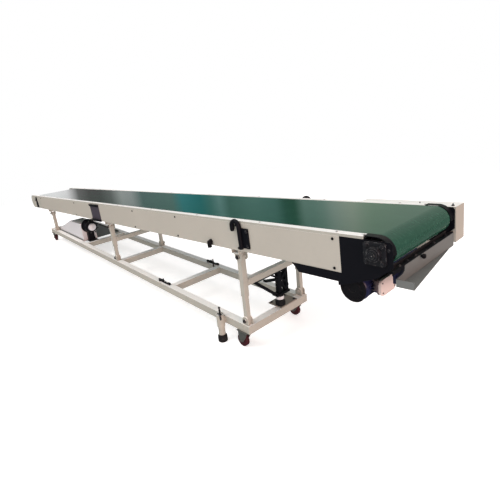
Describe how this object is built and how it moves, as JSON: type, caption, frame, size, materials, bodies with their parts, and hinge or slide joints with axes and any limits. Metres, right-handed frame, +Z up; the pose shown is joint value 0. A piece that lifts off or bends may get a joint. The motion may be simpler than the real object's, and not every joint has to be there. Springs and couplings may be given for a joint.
{
  "type": "mobile belt conveyor",
  "caption": "Long belt conveyor: green flat belt on a straight side-railed bed, carried by telescopic posts on a castered base frame with screw feet and a lifting jack.",
  "frame": {"origin": "on the floor, under the middle of the overall length and width", "axes": "+X along the belt towards the drive drum, +Y across to the drive cover side, +Z up"},
  "size_m": [6.536, 0.8302, 1.0253],
  "materials": {
    "white_paint": "semi-gloss powder coat",
    "cream_paint": "satin powder coat",
    "dark_bracket_paint": "satin paint",
    "black_paint": "satin paint",
    "black_iron": "painted casting",
    "grey_paint": "satin paint",
    "light_grey_paint": "satin paint",
    "brown_grey_paint": "worn paint",
    "motor_blue_paint": "gloss enamel",
    "terminal_box_plastic": "moulded",
    "black_plastic": "moulded",
    "green_belt": "glossy PVC belt face",
    "galvanised_sheet": "galvanised",
    "steel": "turned",
    "zinc": "dull zinc plate",
    "red_wheel": "dark red polyurethane tread",
    "black_rubber": "moulded rubber"
  },
  "bodies": {
    "base": {"base_rail_near": "white_paint", "base_rail_far": "white_paint", "base_beams": "white_paint", "front_lower_posts": "white_paint", "mid_lower_posts": "white_paint", "tail_posts": "white_paint", "jack_plate": "brown_grey_paint", "jack_body": "white_paint", "caster_plates": "zinc", "foot_sleeves": "white_paint", "lock_pins": "black_paint", "tail_tray": "grey_paint", "power_box": "light_grey_paint", "pump_motor": "black_paint"},
    "bed": {"side_rails": "white_paint", "side_cover_near": "cream_paint", "side_cover_far": "cream_paint", "splice_brackets": "dark_bracket_paint", "slider_deck": "galvanised_sheet", "bed_cross_members": "white_paint", "post_brackets": "white_paint", "belt": "green_belt", "head_drum": "steel", "tail_drum": "steel", "return_rollers": "steel", "head_plate_near": "black_paint", "head_plate_far": "black_paint", "drive_cover": "cream_paint", "head_bearing": "black_iron", "motor": "motor_blue_paint", "gearbox": "motor_blue_paint", "terminal_box": "terminal_box_plastic", "motor_skirt": "black_paint", "head_guard": "grey_paint", "head_bar": "black_paint", "tail_plates": "white_paint", "take_ups": "black_paint", "hooks": "black_paint", "cable_gland": "black_plastic"},
    "front_upper": {"front_upper_posts": "white_paint", "front_crossbeam": "white_paint", "spreader": "black_paint", "jack_ram": "steel"},
    "jack_stage": {"jack_stage": "steel"},
    "mid_upper": {"mid_upper_posts": "white_paint", "mid_crossbeam": "white_paint"},
    "fork_front_near": {"caster_fork_front_near": "zinc"},
    "wheel_front_near": {"caster_wheel_front_near": "red_wheel"},
    "fork_front_far": {"caster_fork_front_far": "zinc"},
    "wheel_front_far": {"caster_wheel_front_far": "red_wheel"},
    "fork_tail_near": {"caster_fork_tail_near": "zinc"},
    "wheel_tail_near": {"caster_wheel_tail_near": "red_wheel"},
    "fork_tail_far": {"caster_fork_tail_far": "zinc"},
    "wheel_tail_far": {"caster_wheel_tail_far": "red_wheel"},
    "foot_front_near": {"foot_front_near": "black_rubber"},
    "foot_front_far": {"foot_front_far": "black_rubber"}
  },
  "joints": [
    {"name": "bed_tilt", "type": "hinge", "parent": "base", "child": "bed", "pos_m": [-2.31083, -0.03515, 0.482], "axis": [0, -1, 0], "range_deg": [0, 1.4]},
    {"name": "front_posts_slide", "type": "slide", "parent": "base", "child": "front_upper", "axis": [0, 0, 1], "range_m": [0, 0.109]},
    {"name": "jack_stage_slide", "type": "slide", "parent": "base", "child": "jack_stage", "axis": [0, 0, 1], "range_m": [0, 0.055]},
    {"name": "mid_posts_slide", "type": "slide", "parent": "base", "child": "mid_upper", "axis": [0, 0, 1], "range_m": [0, 0.056]},
    {"name": "swivel_front_near", "type": "hinge", "parent": "base", "child": "fork_front_near", "pos_m": [2.08074, -0.31815, 0.13], "axis": [0, 0, 1], "continuous": true},
    {"name": "roll_front_near", "type": "hinge", "parent": "fork_front_near", "child": "wheel_front_near", "pos_m": [2.04774, -0.31815, 0.05], "axis": [0, 1, 0], "continuous": true},
    {"name": "swivel_front_far", "type": "hinge", "parent": "base", "child": "fork_front_far", "pos_m": [2.08074, 0.24785, 0.13], "axis": [0, 0, 1], "continuous": true},
    {"name": "roll_front_far", "type": "hinge", "parent": "fork_front_far", "child": "wheel_front_far", "pos_m": [2.04774, 0.24785, 0.05], "axis": [0, 1, 0], "continuous": true},
    {"name": "swivel_tail_near", "type": "hinge", "parent": "base", "child": "fork_tail_near", "pos_m": [-2.48526, -0.31815, 0.13], "axis": [0, 0, 1], "continuous": true},
    {"name": "roll_tail_near", "type": "hinge", "parent": "fork_tail_near", "child": "wheel_tail_near", "pos_m": [-2.51826, -0.31815, 0.05], "axis": [0, 1, 0], "continuous": true},
    {"name": "swivel_tail_far", "type": "hinge", "parent": "base", "child": "fork_tail_far", "pos_m": [-2.48526, 0.24785, 0.13], "axis": [0, 0, 1], "continuous": true},
    {"name": "roll_tail_far", "type": "hinge", "parent": "fork_tail_far", "child": "wheel_tail_far", "pos_m": [-2.51826, 0.24785, 0.05], "axis": [0, 1, 0], "continuous": true},
    {"name": "foot_slide_front_near", "type": "slide", "parent": "base", "child": "foot_front_near", "axis": [0, 0, 1], "range_m": [0, 0.05]},
    {"name": "foot_slide_front_far", "type": "slide", "parent": "base", "child": "foot_front_far", "axis": [0, 0, 1], "range_m": [0, 0.05]}
  ],
  "couplings": [
    {"joint": "front_posts_slide", "follows": "bed_tilt", "m_per_rad": 4.425},
    {"joint": "jack_stage_slide", "follows": "bed_tilt", "m_per_rad": 2.2125},
    {"joint": "mid_posts_slide", "follows": "bed_tilt", "m_per_rad": 2.2624}
  ]
}
